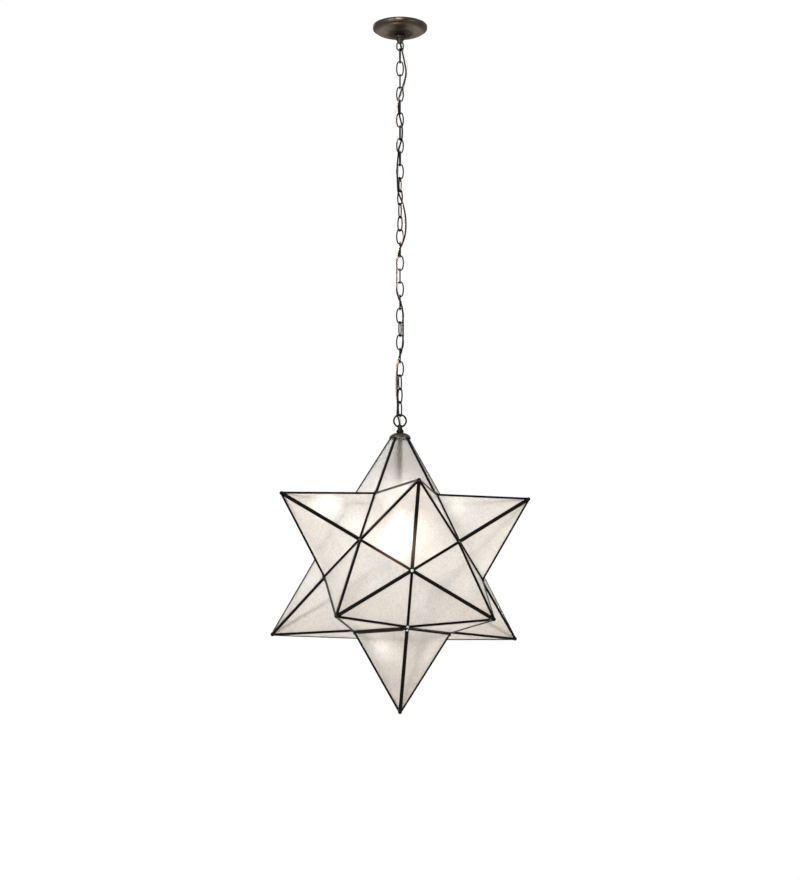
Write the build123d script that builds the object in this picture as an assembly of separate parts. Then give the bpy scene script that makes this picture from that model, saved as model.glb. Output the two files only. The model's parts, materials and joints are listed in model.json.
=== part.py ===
from build123d import *
import math
import os

os.makedirs("parts", exist_ok=True)

# ---------------------------------------------------------------------------
# Pendant lantern in the form of a twelve-pointed star, hung on a chain.
# Millimetres, +Z up. Origin: centre of the canopy's rim, in the ceiling plane.
# -Y faces the viewer, +X is to the viewer's right.
# ---------------------------------------------------------------------------

# star
STAR_DROP = 1319.5          # ceiling plane to the star's centre
APEX_R = 341.0              # centre to each point
INNER_R = 196.6             # centre to each inward corner
STAR_TURN = 8.06            # the upper front point is turned this far toward +X, degrees
GLASS_T = 3.0               # panel thickness
RIDGE_INSET = 2.4           # glass edge to the ridge line
VALLEY_INSET = 1.5          # glass edge to the valley line
RIDGE_HALF = 4.2            # half width of a ridge came over the glass
VALLEY_HALF = 3.8           # half width of a valley came
CAME_H = 1.3                # came height over the glass
TIP_START = 12.4            # the tip solder cap's depth below the apex
NODE_BALL_R = 5.0           # solder joint at an inward corner
TIP_BALL_R = 4.6            # solder joint at a point

# top fitting
CAP_R = 25.2                # domed cap
CAP_Z = 303.0               # cap's lower edge, above the star's centre
CAP_T = 1.2
NECK_R = 5.8
BEAD_R = 8.7
RING_R = 14.5               # hanging ring, centre line
RING_WIRE = 4.2
RING_Z = 346.1              # ring's centre above the star's centre

# chain
LINK_L = 39.0               # outside length
LINK_W = 19.3               # outside width
LINK_WIRE = 3.3
LINK_END_R = 6.4            # radius of a link's rounded ends, wire centre
LINK_GAP = 0.25             # daylight between two wires that hang on each other
LINK_COUNT = 28
# each link's plane, degrees from the plane that faces the viewer
LINK_AZ = [84, 4, 92, -3, 86, 2, 95, 12, 98, 6, 72, 133, 68, 129, 190, 96, 4, 90,
           -3, 92, 3, 71, 172, 94, 2, 65, 127, 62]

# canopy and its fittings, heights below the ceiling plane
CANOPY_R = 65.7
CANOPY_T = 1.2
CANOPY_HOLE_R = 11.0
COLLAR_R = 13.9
COLLAR_BORE_R = 10.15
COLLAR_TOP = -26.8
COLLAR_BOTTOM = -34.4
LOOP_WIRE = 3.8
LOOP_HALF = 7.8             # canopy loop's half width at the wire's centre
PIPE_R = 5.0                # threaded pipe, outside
PIPE_BORE_R = 3.3
THREAD_R = 5.05             # bore that holds the pipe
BAR_L = 102.0               # mounting strap
BAR_W = 19.0
BAR_T = 2.5
SLOT_SPACING = 88.9
SLOT_L = 12.0
SLOT_R = 2.3

# lamp
STEM_TOP = 327.0
STEM_BOTTOM = 176.0
BULB_Z = 62.0               # centre of the bulb's globe, above the star's centre
BULB_R = 30.0

# bottom door
RIM_START = 1.6
RIM_END = 5.6
RIM_GLASS = 3.2
PIN_R = 1.3
KNUCKLE_R = 2.5
KNUCKLE_BORE_R = 1.35
HINGE_OUT = 2.36            # hinge axis outside the opening's edge
HINGE_DOWN = 3.9            # and below it
LEAF_OUT = 9.6              # fixed leaf's width on the star
LEAF_DOWN = 7.4             # moving leaf's reach down the door
HINGE_HALF = 60.0           # half the hinge's length

# cords
CORD_R = 2.0
EARTH_R = 0.7

C = Vector(0, 0, -STAR_DROP)


def up(z):
    """height above the star's centre, as a height in the part's frame"""
    return z - STAR_DROP


def polyhedron(a, b):
    """closed solid between two polygons with matching corners"""
    n = len(a)
    faces = [Face(Wire.make_polygon(a, close=True)), Face(Wire.make_polygon(b, close=True))]
    for i in range(n):
        j = (i + 1) % n
        faces.append(Face(Wire.make_polygon([a[i], a[j], b[j], b[i]], close=True)))
    s = Solid(Shell(faces))
    if s.volume < 0:
        s = Solid(s.wrapped.Reversed())
    return s


def disc(r, z0, z1, bore=0.0, x=0.0, y=0.0):
    """upright cylinder from z0 to z1, with an optional bore"""
    s = Pos(x, y, (z0 + z1) / 2) * Cylinder(r, abs(z1 - z0))
    if bore:
        s = s - Pos(x, y, (z0 + z1) / 2) * Cylinder(bore, abs(z1 - z0) + 2)
    return s.solid()


def turned(points):
    """solid of revolution about Z from (radius, height) points"""
    w = Wire.make_polygon([Vector(r, 0, z) for r, z in points], close=True)
    return Solid.revolve(Face(w), 360, Axis.Z)


def hexagon(af, z0, z1, bore):
    """hexagon nut, across flats af"""
    w = Wire.make_polygon(
        [Vector(af / math.sqrt(3) * math.cos(math.radians(60 * k)),
                af / math.sqrt(3) * math.sin(math.radians(60 * k)), z0) for k in range(6)],
        close=True,
    )
    s = Solid.extrude(Face(w), Vector(0, 0, z1 - z0))
    return (s - Pos(0, 0, (z0 + z1) / 2) * Cylinder(bore, abs(z1 - z0) + 2)).solid()


nodes = {}


def keep(name, *solids):
    """one named sub-part, of one or more separate solids"""
    flat = []
    for s in solids:
        flat += list(s) if isinstance(s, (list, tuple)) else [s]
    nodes[name] = flat


# ---------------------------------------------------------------------------
# star corners
# ---------------------------------------------------------------------------
S5 = math.sqrt(5)


def around(az, r, z):
    a = math.radians(az)
    return C + Vector(r * math.sin(a), -r * math.cos(a), z)


apex = {"T": C + Vector(0, 0, APEX_R), "B": C - Vector(0, 0, APEX_R)}
for k in range(5):
    apex[f"U{k}"] = around(STAR_TURN + 72 * k, 2 * APEX_R / S5, APEX_R / S5)
    apex[f"L{k}"] = around(STAR_TURN + 36 + 72 * k, 2 * APEX_R / S5, -APEX_R / S5)

ring_of = {"T": [f"U{k}" for k in range(5)], "B": [f"L{k}" for k in range(5)]}
for k in range(5):
    ring_of[f"U{k}"] = ["T", f"U{(k + 1) % 5}", f"L{k}", f"L{(k - 1) % 5}", f"U{(k - 1) % 5}"]
    ring_of[f"L{k}"] = ["B", f"L{(k + 1) % 5}", f"U{(k + 1) % 5}", f"U{k}", f"L{(k - 1) % 5}"]


def corner(a, b, c):
    """inward corner between three neighbouring points"""
    s = (apex[a] - C) + (apex[b] - C) + (apex[c] - C)
    return C + s.normalized() * INNER_R


corners = {}
for a, ns in ring_of.items():
    for j in range(5):
        corners[frozenset((a, ns[j], ns[(j + 1) % 5]))] = corner(a, ns[j], ns[(j + 1) % 5])


def panel(a, j):
    """apex, the base edge's two corners and the outward normal of one panel"""
    ns = ring_of[a]
    p = corners[frozenset((a, ns[j - 1], ns[j]))]
    q = corners[frozenset((a, ns[j], ns[(j + 1) % 5]))]
    n = (p - apex[a]).cross(q - apex[a]).normalized()
    if n.dot((apex[a] + p + q) / 3 - C) < 0:
        n = -n
    return apex[a], p, q, n


# the solder balls round the door: (corner, centre, radius); the star's side and the door's side
STAR_BALLS, DOOR_BALLS = [], []
for key, v in corners.items():
    if "B" in key:
        flat = Vector(v.X, v.Y, 0).normalized()
        STAR_BALLS.append((key - {"B"}, v + flat * 4.2 + Vector(0, 0, 1.6), 4.2))
        DOOR_BALLS.append((frozenset("B"), v + (apex["B"] - v).normalized() * 6.6 - flat * 0.2, 3.4))
NOTCHES = STAR_BALLS + DOOR_BALLS


def notched(solid, balls):
    """cut the solder balls' room out of a came"""
    b = solid.bounding_box()
    for _, c, r in balls:
        if (b.min.X - r < c.X < b.max.X + r and b.min.Y - r < c.Y < b.max.Y + r
                and b.min.Z - r < c.Z < b.max.Z + r):
            solid = solid - Pos(*c) * Sphere(r)
            solid = solid if isinstance(solid, Solid) else solid.solid()
    return solid


def panel_glass(a, j, base_inset, cut_top, z_top=None):
    """one glass panel: a flat triangle with its three corners cut off"""
    A, p, q, n = panel(a, j)
    mid = (p + q) / 2
    down = (mid - A).normalized()
    side = (q - p).normalized()
    height = (mid - A).length
    half = (q - p).length / 2
    slope = math.atan2(half, height)
    axis = (C - A).normalized() if z_top is None else None

    def at(s, x):
        return A + down * s + side * x

    # distance along the median where the top is cut
    if z_top is None:
        s0 = cut_top / abs(down.dot((C - A).normalized()))
    else:
        s0 = (A.Z - z_top) / abs(down.Z)
    edge = lambda s: s * math.tan(slope) - RIDGE_INSET / math.cos(slope)
    s1 = height - base_inset
    # the two base corners are cut square to the corner's bisector, clear of the solder ball
    beta = math.pi / 2 - slope
    reach = NODE_BALL_R + 0.35
    bis = beta / 2
    # line: distance `reach` from the corner along the bisector
    # on the base line (s = s1) and on the ridge line
    cx = half
    bx, bs = -math.cos(bis), -math.sin(bis)

    def cut_x_on_base():
        # (x - half) * bx + (s1 - height) * bs = reach
        return cx + (reach - (s1 - height) * bs) / bx

    def cut_on_ridge():
        # x = edge(s): solve (edge(s) - half) * bx + (s - height) * bs = reach
        t = math.tan(slope)
        k = RIDGE_INSET / math.cos(slope)
        # (t*s - k - half)*bx + (s - height)*bs = reach
        s = (reach + (k + half) * bx + height * bs) / (t * bx + bs)
        return s, edge(s)

    xb = cut_x_on_base()
    sr, xr = cut_on_ridge()
    pts = [at(s0, -edge(s0)), at(s0, edge(s0)), at(sr, xr), at(s1, xb), at(s1, -xb), at(sr, -xr)]
    back = [v - n * GLASS_T for v in pts]
    sheet = polyhedron(pts, back)
    for key, c, r in NOTCHES:
        if a in key and (c - A).length < APEX_R and ((c - p).length < 15 or (c - q).length < 15):
            sheet = sheet - Pos(*c) * Sphere(r + 0.03)
    return sheet if isinstance(sheet, Solid) else sheet.solid()


def bar(P, Q, section, start, end):
    """straight came from P toward Q; start and end are (point, normal) cutting planes"""
    d = (Q - P).normalized()

    def hit(v, plane):
        o, n = plane
        return v + d * ((o - v).dot(n) / d.dot(n))

    return polyhedron([hit(P + v, start) for v in section], [hit(P + v, end) for v in section])


def across(P, Q, inside, n):
    """in-panel direction square to the edge P-Q, pointing to the panel's middle"""
    d = (Q - P).normalized()
    a = inside - P
    a = a - d * a.dot(d)
    return a.normalized()


def came_section(P, Q, m1, n1, m2, n2, inset, half, h):
    a1, a2 = across(P, Q, m1, n1), across(P, Q, m2, n2)
    crest = (n1 + n2) * (h / (1 + n1.dot(n2)))
    return [
        a1 * half + n1 * h, crest, a2 * half + n2 * h, a2 * half, a2 * inset,
        a2 * inset - n2 * GLASS_T, a1 * inset - n1 * GLASS_T, a1 * inset, a1 * half,
    ]


def tip_cap(A):
    """solder cap over one point: five-sided, with a rounded ball at its end"""
    name = next(k for k, v in apex.items() if (v - A).length < 1e-6)
    ax = (C - A).normalized()
    height = None
    base, top = [], []
    ns = ring_of[name]
    for j in range(5):
        v = corners[frozenset((name, ns[j], ns[(j + 1) % 5]))]
        depth = (v - A).dot(ax)
        rad = (v - A) - ax * depth
        r = rad.length
        rad = rad.normalized()
        half_angle = math.atan2(r * math.cos(math.pi / 5), depth)
        extra = CAME_H / math.cos(half_angle) / math.cos(math.pi / 5)
        for s, out in ((TIP_START, base), (3.6, top)):
            out.append(A + ax * s + rad * (s * r / depth + extra))
    cone = polyhedron(base, top)
    ball = Pos(*(A + ax * 3.9)) * Sphere(TIP_BALL_R)
    return (cone + ball).solid()


# ---------------------------------------------------------------------------
# glass
# ---------------------------------------------------------------------------
TOP_CUT = up(CAP_Z - 0.5)
keep("top_point_glass", [panel_glass("T", j, VALLEY_INSET, 0, z_top=TOP_CUT) for j in range(5)])
keep("side_point_glass", [panel_glass(a, j, VALLEY_INSET, TIP_START + 0.2)
                          for a in apex if a not in "TB" for j in range(5)])
keep("door_glass", [panel_glass("B", j, RIM_GLASS, TIP_START + 0.2) for j in range(5)])

# ---------------------------------------------------------------------------
# cames along the ridges and valleys
# ---------------------------------------------------------------------------
ridges, door_ridges = [], []
ridge_at = {}               # the ridge cames that end at each inward corner
for a, ns in ring_of.items():
    A = apex[a]
    ax = (C - A).normalized()
    for j in range(5):
        Q = corners[frozenset((a, ns[j], ns[(j + 1) % 5]))]
        _, p1, q1, n1 = panel(a, j)
        _, p2, q2, n2 = panel(a, (j + 1) % 5)
        m1, m2 = (p1 + q1) / 2, (p2 + q2) / 2
        sec = came_section(A, Q, m1, n1, m2, n2, RIDGE_INSET, RIDGE_HALF, CAME_H)
        d = (Q - A).normalized()
        near = (A + ax * TIP_START, ax)
        far = (Q - d * 3.6, d)
        if a[0] == "L" and "B" in (ns[j], ns[(j + 1) % 5]):
            far = (Q - d * 5.0, d)
        if a == "T":
            near = (Vector(0, 0, TOP_CUT), Vector(0, 0, 1))
        if a == "B":
            far = (Q - Vector(0, 0, RIM_END * 0.886 + 0.75), Vector(0, 0, 1))
        b = bar(A, Q, sec, near, far)
        if a == "B":
            door_ridges.append(notched(b, DOOR_BALLS))
        elif far[0] == Q - d * 5.0:
            ridges.append(notched(b, STAR_BALLS))
        else:
            ridges.append(notched(b, [(None, Q, NODE_BALL_R)]))
        if a != "B":
            ridge_at.setdefault(frozenset((a, ns[j], ns[(j + 1) % 5])), []).append(ridges[-1])
keep("ridge_cames", ridges)

def corner_of(v):
    return next(k for k, c in corners.items() if (c - v).length < 1e-6)


def radial(v):
    """upright cutting plane through the star's axis and v"""
    r = Vector(v.X, v.Y, 0).normalized()
    return (Vector(0, 0, 0), Vector(-r.Y, r.X, 0))


def plate(o, u, v, w, u0, u1, v0, v1, w0, w1):
    """box on the axes u, v, w from the point o"""
    f = lambda a, b, c: o + u * a + v * b + w * c
    return polyhedron([f(u0, v0, w0), f(u1, v0, w0), f(u1, v1, w0), f(u0, v1, w0)],
                      [f(u0, v0, w1), f(u1, v0, w1), f(u1, v1, w1), f(u0, v1, w1)])


valleys = []
opening = []
done = set()
for a, ns in ring_of.items():
    for j in range(5):
        b = ns[j]
        if frozenset((a, b)) in done:
            continue
        done.add(frozenset((a, b)))
        _, p, q, n1 = panel(a, j)
        k = ring_of[b].index(a)
        _, _, _, n2 = panel(b, k)
        d = (q - p).normalized()
        near = (p + d * 3.6, d)
        far = (q - d * 3.6, d)
        if "B" in (a, b):
            # the opening's edge: a came on the side point's panel alone
            other = b if a == "B" else a
            n = n2 if a == "B" else n1
            m = (apex[other] + p + q) / 3
            e = across(p, q, m, n)
            wide = 3.6
            sec = [e * 0.2 + n * CAME_H, e * wide + n * CAME_H, e * wide, e * VALLEY_INSET,
                   e * VALLEY_INSET - n * GLASS_T, e * 0.2 - n * GLASS_T]
            piece = notched(bar(p, q, sec, radial(p), radial(q)), STAR_BALLS)
            if other == "L4":
                # wider under the fixed hinge leaf
                piece = (piece + plate((p + q) / 2, d, e, n, -HINGE_HALF, HINGE_HALF, 3.4, LEAF_OUT, 0.0, CAME_H)).solid()
            opening.append(piece)
        else:
            sec = came_section(p, q, apex[a], n1, apex[b], n2, VALLEY_INSET, VALLEY_HALF, CAME_H)
            ends = STAR_BALLS if "B" in corner_of(p) else [(None, p, NODE_BALL_R)]
            ends2 = STAR_BALLS if "B" in corner_of(q) else [(None, q, NODE_BALL_R)]
            piece = notched(notched(bar(p, q, sec, near, far), ends), ends2)
            for v in (p, q):
                # the ridge cames run through, the valley came is mitred to them
                for ridge in ridge_at[corner_of(v)]:
                    cut = piece - ridge
                    piece = cut if isinstance(cut, Solid) else max(cut.solids(), key=lambda x: x.volume)
            valleys.append(piece)
keep("valley_cames", valleys + opening)

# solder joints: one ball at each inward corner, one cap at each side point
balls = []
for key, v in corners.items():
    if "B" not in key:
        balls.append((Pos(*v) * Sphere(NODE_BALL_R)).solid())
balls += [(Pos(*c) * Sphere(r)).solid() for _, c, r in STAR_BALLS]
balls += [tip_cap(apex[a]) for a in apex if a not in "TB"]
keep("solder_joints", balls)

# ---------------------------------------------------------------------------
# bottom door: the point that opens for the bulb
# ---------------------------------------------------------------------------
rims = []
for j in range(5):
    A, p, q, n = panel("B", j)
    d = (q - p).normalized()
    e = across(p, q, A, n)
    sec = [e * RIM_START + n * CAME_H, e * RIM_END + n * CAME_H, e * RIM_END, e * RIM_GLASS,
           e * RIM_GLASS - n * GLASS_T, e * RIM_START - n * GLASS_T]
    piece = notched(bar(p, q, sec, radial(p), radial(q)), DOOR_BALLS)
    if j == 4:
        # wider under the moving hinge leaf
        piece = (piece + plate((p + q) / 2, d, e, n, 2 - HINGE_HALF, HINGE_HALF - 2, RIM_END - 0.2, LEAF_DOWN, 0.0, CAME_H)).solid()
    rims.append(piece)
keep("door_cames", door_ridges + rims)
door_balls = [tip_cap(apex["B"])]
door_balls += [(Pos(*c) * Sphere(r)).solid() for _, c, r in DOOR_BALLS]
keep("door_solder", door_balls)

# hinge along the front left edge of the opening
_, hp, hq, hn = panel("B", 4)               # the edge under point L4
mid = (hp + hq) / 2
H_OUT = Vector(mid.X, mid.Y, 0).normalized()    # away from the opening
H_DIR = (hq - hp).normalized()
H_C = mid + H_OUT * HINGE_OUT - Vector(0, 0, HINGE_DOWN)
H_DOWN = across(hp, hq, apex["B"], hn)          # down the door's face


def along(s):
    return H_C + H_DIR * s


def rod(s0, s1, r, bore=0.0):
    """cylinder on the hinge axis from s0 to s1"""
    pl = Plane(origin=along(s0), z_dir=H_DIR)
    s = Solid.make_cylinder(r, s1 - s0, pl)
    if bore:
        s = s - Solid.make_cylinder(bore, s1 - s0 + 4, Plane(origin=along(s0 - 2), z_dir=H_DIR))
    return s.solid()


KN = [(-60.0, -36.3), (-35.7, -12.3), (-11.7, 11.7), (12.3, 35.7), (36.3, 60.0)]
Z1 = Vector(0, 0, 1)
fixed = plate(mid, H_DIR, H_OUT, -Z1, -HINGE_HALF, HINGE_HALF, 5.6, LEAF_OUT - 0.2, 1.35, 2.35)
for i in (0, 2, 4):
    a, b = KN[i]
    fixed = fixed + plate(mid, H_DIR, H_OUT, -Z1, a, b, HINGE_OUT, 6.5, 1.35, 2.35)
    fixed = fixed + rod(a, b, KNUCKLE_R)
fixed = fixed - rod(-62, 62, KNUCKLE_BORE_R)
keep("hinge_leaf_fixed", fixed.solid())

moving = plate(mid, H_DIR, H_DOWN, hn, 2 - HINGE_HALF, HINGE_HALF - 2, 5.6, LEAF_DOWN - 0.2, 1.35, 2.35)
for i in (1, 3):
    a, b = KN[i]
    moving = moving + plate(mid, H_DIR, H_DOWN, hn, a, b, 2.4, LEAF_DOWN - 0.4, 1.45, 2.35)
    moving = moving + rod(a, b, KNUCKLE_R)
moving = moving - rod(-62, 62, KNUCKLE_BORE_R)
keep("hinge_leaf_moving", moving.solid())
keep("hinge_pin", (rod(-60.5, 60.5, PIN_R) + rod(-61.5, -60.4, 2.2) + rod(60.4, 61.5, 2.2)).solid())

# catch opposite the hinge: a tab on the door snaps past a sprung clip on the star
c_az = STAR_TURN + 36 + 72 * 4 + 180
back = frozenset(("B", "L1", "L2"))
_, kp, kq, kn = panel("B", 1)
kmid = (kp + kq) / 2
K_OUT = Vector(kmid.X, kmid.Y, 0).normalized()
K_DIR = (kq - kp).normalized()
K_DOWN = across(kp, kq, apex["B"], kn)
tab = plate(kmid, K_DIR, K_DOWN, kn, -6.0, 6.0, 2.2, 7.0, 1.35, 2.35)
tab = tab + plate(kmid, K_DIR, K_OUT, -Z1, -4.0, 4.0, 0.2, 6.0, 3.4, 4.4)
keep("catch_tab", tab.solid())
clip = plate(kmid, K_DIR, K_OUT, -Z1, -5.0, 5.0, 0.8, 3.4, 1.35, 2.15)
clip = clip + plate(kmid, K_DIR, K_OUT, -Z1, -3.5, 3.5, 3.2, 8.2, 1.35, 2.15)
clip = clip + plate(kmid, K_DIR, K_OUT, -Z1, -3.5, 3.5, 7.4, 8.2, 1.35, 7.0)
clip = clip + plate(kmid, K_DIR, K_OUT, -Z1, -3.5, 3.5, 6.4, 8.2, 5.6, 6.4)
keep("catch_clip", clip.solid())

# ---------------------------------------------------------------------------
# top fitting of the star
# ---------------------------------------------------------------------------
dome = [(CAP_R, CAP_Z), (CAP_R, 306.4), (23.6, 309.4), (19.0, 313.0), (13.0, 315.7), (THREAD_R, 317.2),
        (THREAD_R, 316.0), (12.8, 314.5), (18.4, 312.0), (22.7, 308.6), (CAP_R - CAP_T, 306.0),
        (CAP_R - CAP_T, CAP_Z)]
keep("top_cap", turned([(r, up(z)) for r, z in dome]))
bead = [(THREAD_R, 317.25), (7.2, 317.25), (8.4, 319.0), (BEAD_R, 321.0), (8.4, 322.9), (7.0, 324.75),
        (THREAD_R, 324.75)]
keep("neck_bead", turned([(r, up(z)) for r, z in bead]))

NECK_TOP = 337.2
EYE_Z = RING_Z - RING_R                 # the ring's lowest wire centre
neck = turned([(r, up(z)) for r, z in [(0, 324.8), (NECK_R, 324.8), (NECK_R, 333.6), (5.2, 335.6), (3.6, 336.8),
                                       (0, NECK_TOP)]])
neck = neck - Pos(0, 0, up(325.9)) * Cylinder(THREAD_R, 2.3)
# the ring's eye: narrow in the middle and flared, so that the ring can swing in it
flare = [(0.0, -8.0)]
for i in range(-4, 5):
    x = 2.0 * i
    flare.append((RING_WIRE / 2 + 0.35 + x * x / (2 * (RING_R - 1.2)), x))
flare.append((0.0, 8.0))
eye = Solid.revolve(Face(Wire.make_polygon([Vector(x, 0, up(EYE_Z) + r) for r, x in flare], close=True)), 360,
                    Axis((0, 0, up(EYE_Z)), (1, 0, 0)))
neck = neck - eye
# wire way at the back
neck = neck - Pos(0.3, 6.4, up(327.2 + 6)) * Box(6.6, 8.2, 12)
neck = neck - Pos(0, 6.2, up(336.5)) * Box(14.0, 9.2, 8.0)
keep("cap_neck", max(neck.solids(), key=lambda q: q.volume))


def torus_ring(R, wire, z):
    w = Pos(0, 0, z) * (Rot(90, 0, 0) * Torus(R, wire / 2))
    return w.solid()


keep("hanging_ring", torus_ring(RING_R, RING_WIRE, up(RING_Z)))

# threaded stem that carries the lamp holder, with its two locknuts
keep("lamp_stem", disc(PIPE_R, up(STEM_BOTTOM), up(326.6), PIPE_BORE_R))
keep("stem_locknuts", hexagon(14.0, up(308.0), up(312.0), THREAD_R), hexagon(14.0, up(188.2), up(192.2), THREAD_R))

holder = [(THREAD_R, 188.0), (11.0, 188.0), (16.5, 183.5), (19.0, 176.0), (19.5, 150.0), (19.5, 128.0), (18.0, 126.0),
          (15.4, 126.0), (15.4, 170.0), (THREAD_R, 170.0)]
keep("lamp_holder", turned([(r, up(z)) for r, z in holder]))
shell = [(14.9, 169.0), (14.9, 127.5), (14.1, 127.5), (14.1, 168.2), (2.0, 168.2), (2.0, 169.0)]
keep("holder_screw_shell", turned([(r, up(z)) for r, z in shell]))
base = [(0, 167.6), (4.5, 167.6), (5.5, 165.0), (12.2, 162.0), (13.2, 160.0), (13.2, 137.0), (0, 137.0)]
keep("bulb_base", turned([(r, up(z)) for r, z in base]))
globe = [(0, 136.9), (13.0, 136.9), (13.2, 128.0), (14.5, 118.0), (18.5, 106.0), (24.0, 94.0), (28.3, 80.0)]
for i in range(0, 9):
    t = math.radians(22.5 - i * 14.0625)
    globe.append((BULB_R * math.cos(t), BULB_Z + BULB_R * math.sin(t)))
globe[-1] = (0, BULB_Z - BULB_R)
keep("bulb_globe", turned([(r, up(z)) for r, z in globe]))

# ---------------------------------------------------------------------------
# chain
# ---------------------------------------------------------------------------


def chain_link():
    """oval of four tangent arcs, swept by the wire"""
    hw = (LINK_W - LINK_WIRE) / 2
    zc = (LINK_L - LINK_WIRE) / 2 - LINK_END_R
    side_r = (hw * hw + zc * zc - LINK_END_R ** 2) / (2 * (hw - LINK_END_R))
    t = math.atan2(zc, side_r - hw)
    jx, jz = LINK_END_R * math.cos(t), zc + LINK_END_R * math.sin(t)
    w = LINK_WIRE / 2
    wire = Face(Wire.make_circle(w, Plane(origin=(jx, 0, jz), z_dir=(-math.sin(t), 0, math.cos(t)))))
    end_sweep = 180 - 2 * math.degrees(t)
    side_sweep = 2 * math.degrees(t)
    solid = None
    for pivot, angle in (((0, 0, zc), -end_sweep), ((hw - side_r, 0, 0), side_sweep)):
        arc = Solid.revolve(wire, angle, Axis(pivot, (0, 1, 0)))
        for turn in (0, 180):
            piece = Rot(0, turn, 0) * arc
            solid = piece if solid is None else solid + piece
    return solid.solid()


LINK = chain_link()
PITCH = LINK_L - 2 * LINK_WIRE - LINK_GAP
L_LAST = RING_Z + RING_R - (LINK_WIRE / 2 + RING_WIRE / 2 + LINK_GAP) + LINK_L / 2 - LINK_WIRE / 2
link_z = [up(L_LAST + (LINK_COUNT - 1 - i) * PITCH) for i in range(LINK_COUNT)]
for i in range(LINK_COUNT):
    keep(f"chain_link_{i + 1:02d}", Pos(0, 0, link_z[i]) * (Rot(0, 0, LINK_AZ[i]) * LINK))

# ---------------------------------------------------------------------------
# ceiling fittings
# ---------------------------------------------------------------------------
LOOP_LOW = link_z[0] + LINK_L / 2 - LINK_WIRE / 2 - (LINK_WIRE / 2 + LOOP_WIRE / 2 + LINK_GAP)
lw = LOOP_WIRE / 2
lz = LOOP_LOW + LOOP_HALF
loop_base = turned([(3.4, COLLAR_TOP - 0.1), (10.1, COLLAR_TOP - 0.1), (10.1, COLLAR_BOTTOM + 0.4), (9.7, COLLAR_BOTTOM - 0.1),
                    (9.3, COLLAR_BOTTOM - 2.6), (7.6, COLLAR_BOTTOM - 5.2), (6.9, COLLAR_BOTTOM - 10.2), (5.3, COLLAR_BOTTOM - 10.2),
                    (3.4, COLLAR_BOTTOM - 7.0)])
u_half = Solid.revolve(Face(Wire.make_circle(lw, Plane(origin=(LOOP_HALF, 0, 0), z_dir=(0, 0, 1)))), -180, Axis.Y)
if u_half.center().Z > 0:
    u_half = Rot(0, 180, 0) * u_half
u_half = Pos(0, 0, lz) * u_half
leg_top = lz + 7.2
loop = u_half
SH = 3.4
for sx in (-1, 1):
    loop = loop + Pos(sx * LOOP_HALF, 0, (lz + leg_top) / 2) * Cylinder(lw, leg_top - lz)
    shoulder = Solid.revolve(Face(Wire.make_circle(lw, Plane(origin=(sx * LOOP_HALF, 0, leg_top), z_dir=(0, 0, 1)))),
                             -90 * sx, Axis((sx * (LOOP_HALF - SH), 0, leg_top), (0, 1, 0)))
    if shoulder.center().Z < leg_top:
        shoulder = Solid.revolve(Face(Wire.make_circle(lw, Plane(origin=(sx * LOOP_HALF, 0, leg_top), z_dir=(0, 0, 1)))),
                                 90 * sx, Axis((sx * (LOOP_HALF - SH), 0, leg_top), (0, 1, 0)))
    loop = loop + shoulder
loop = loop + loop_base
loop = loop - Pos(0, 0, COLLAR_TOP - 2.5) * Cylinder(THREAD_R, 5.2)
keep("canopy_loop", loop.solid())

keep("collar_ring", disc(COLLAR_R, COLLAR_BOTTOM, COLLAR_TOP, COLLAR_BORE_R))

outer = [(CANOPY_R - 2.4, 0.0), (CANOPY_R - 0.8, -0.8), (CANOPY_R, -2.6), (CANOPY_R, -8.2), (CANOPY_R - 0.9, -10.6),
         (CANOPY_R - 3.0, -12.2), (60.8, -12.6), (58.6, -13.4), (56.6, -15.2), (54.4, -16.6), (50.6, -17.2),
         (46.4, -17.4), (42.6, -18.4), (38.6, -20.0), (34.6, -21.2), (30.8, -22.8), (22.0, -25.0), (CANOPY_HOLE_R, -26.75)]
inner = [(CANOPY_HOLE_R, -25.55), (21.8, -23.8), (30.4, -21.6), (34.2, -20.0), (38.2, -18.8), (42.2, -17.2),
         (46.2, -16.2), (50.4, -16.0), (53.9, -15.4), (56.0, -14.1), (58.1, -12.3), (60.5, -11.4), (62.2, -11.0),
         (63.9, -9.8), (CANOPY_R - 1.2, -7.9), (CANOPY_R - 1.2, -3.0), (CANOPY_R - 2.0, -2.0), (CANOPY_R - 5.0, -1.6),
         (CANOPY_R - 5.0, 0.0)]
keep("canopy_dish", turned(outer + inner))

strap = Pos(0, 0, -BAR_T / 2) * Box(BAR_L, BAR_W, BAR_T)
strap = strap - Pos(0, 0, -BAR_T / 2) * Cylinder(THREAD_R, BAR_T + 2)
for sx in (-1, 1):
    x = sx * SLOT_SPACING / 2
    strap = strap - Pos(x, 0, -BAR_T / 2) * Box(SLOT_L - 2 * SLOT_R, 2 * SLOT_R, BAR_T + 2)
    for e in (-1, 1):
        strap = strap - Pos(x + e * (SLOT_L / 2 - SLOT_R), 0, -BAR_T / 2) * Cylinder(SLOT_R, BAR_T + 2)
strap = strap - Pos(22, 0, -BAR_T / 2) * Cylinder(2.05, BAR_T + 2)
keep("mounting_strap", strap.solid())
keep("earth_screw", (disc(2.0, -BAR_T - 4.0, -BAR_T + 2.0, x=22) + disc(4.2, -BAR_T - 2.4, -BAR_T, x=22)).solid())
keep("canopy_nipple", disc(PIPE_R, COLLAR_TOP - 4.8, 7.0, PIPE_BORE_R))
keep("nipple_locknut", hexagon(14.0, -BAR_T - 4.0, -BAR_T, THREAD_R))

# ---------------------------------------------------------------------------
# supply cord and earth wire, woven through the chain
# ---------------------------------------------------------------------------


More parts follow.
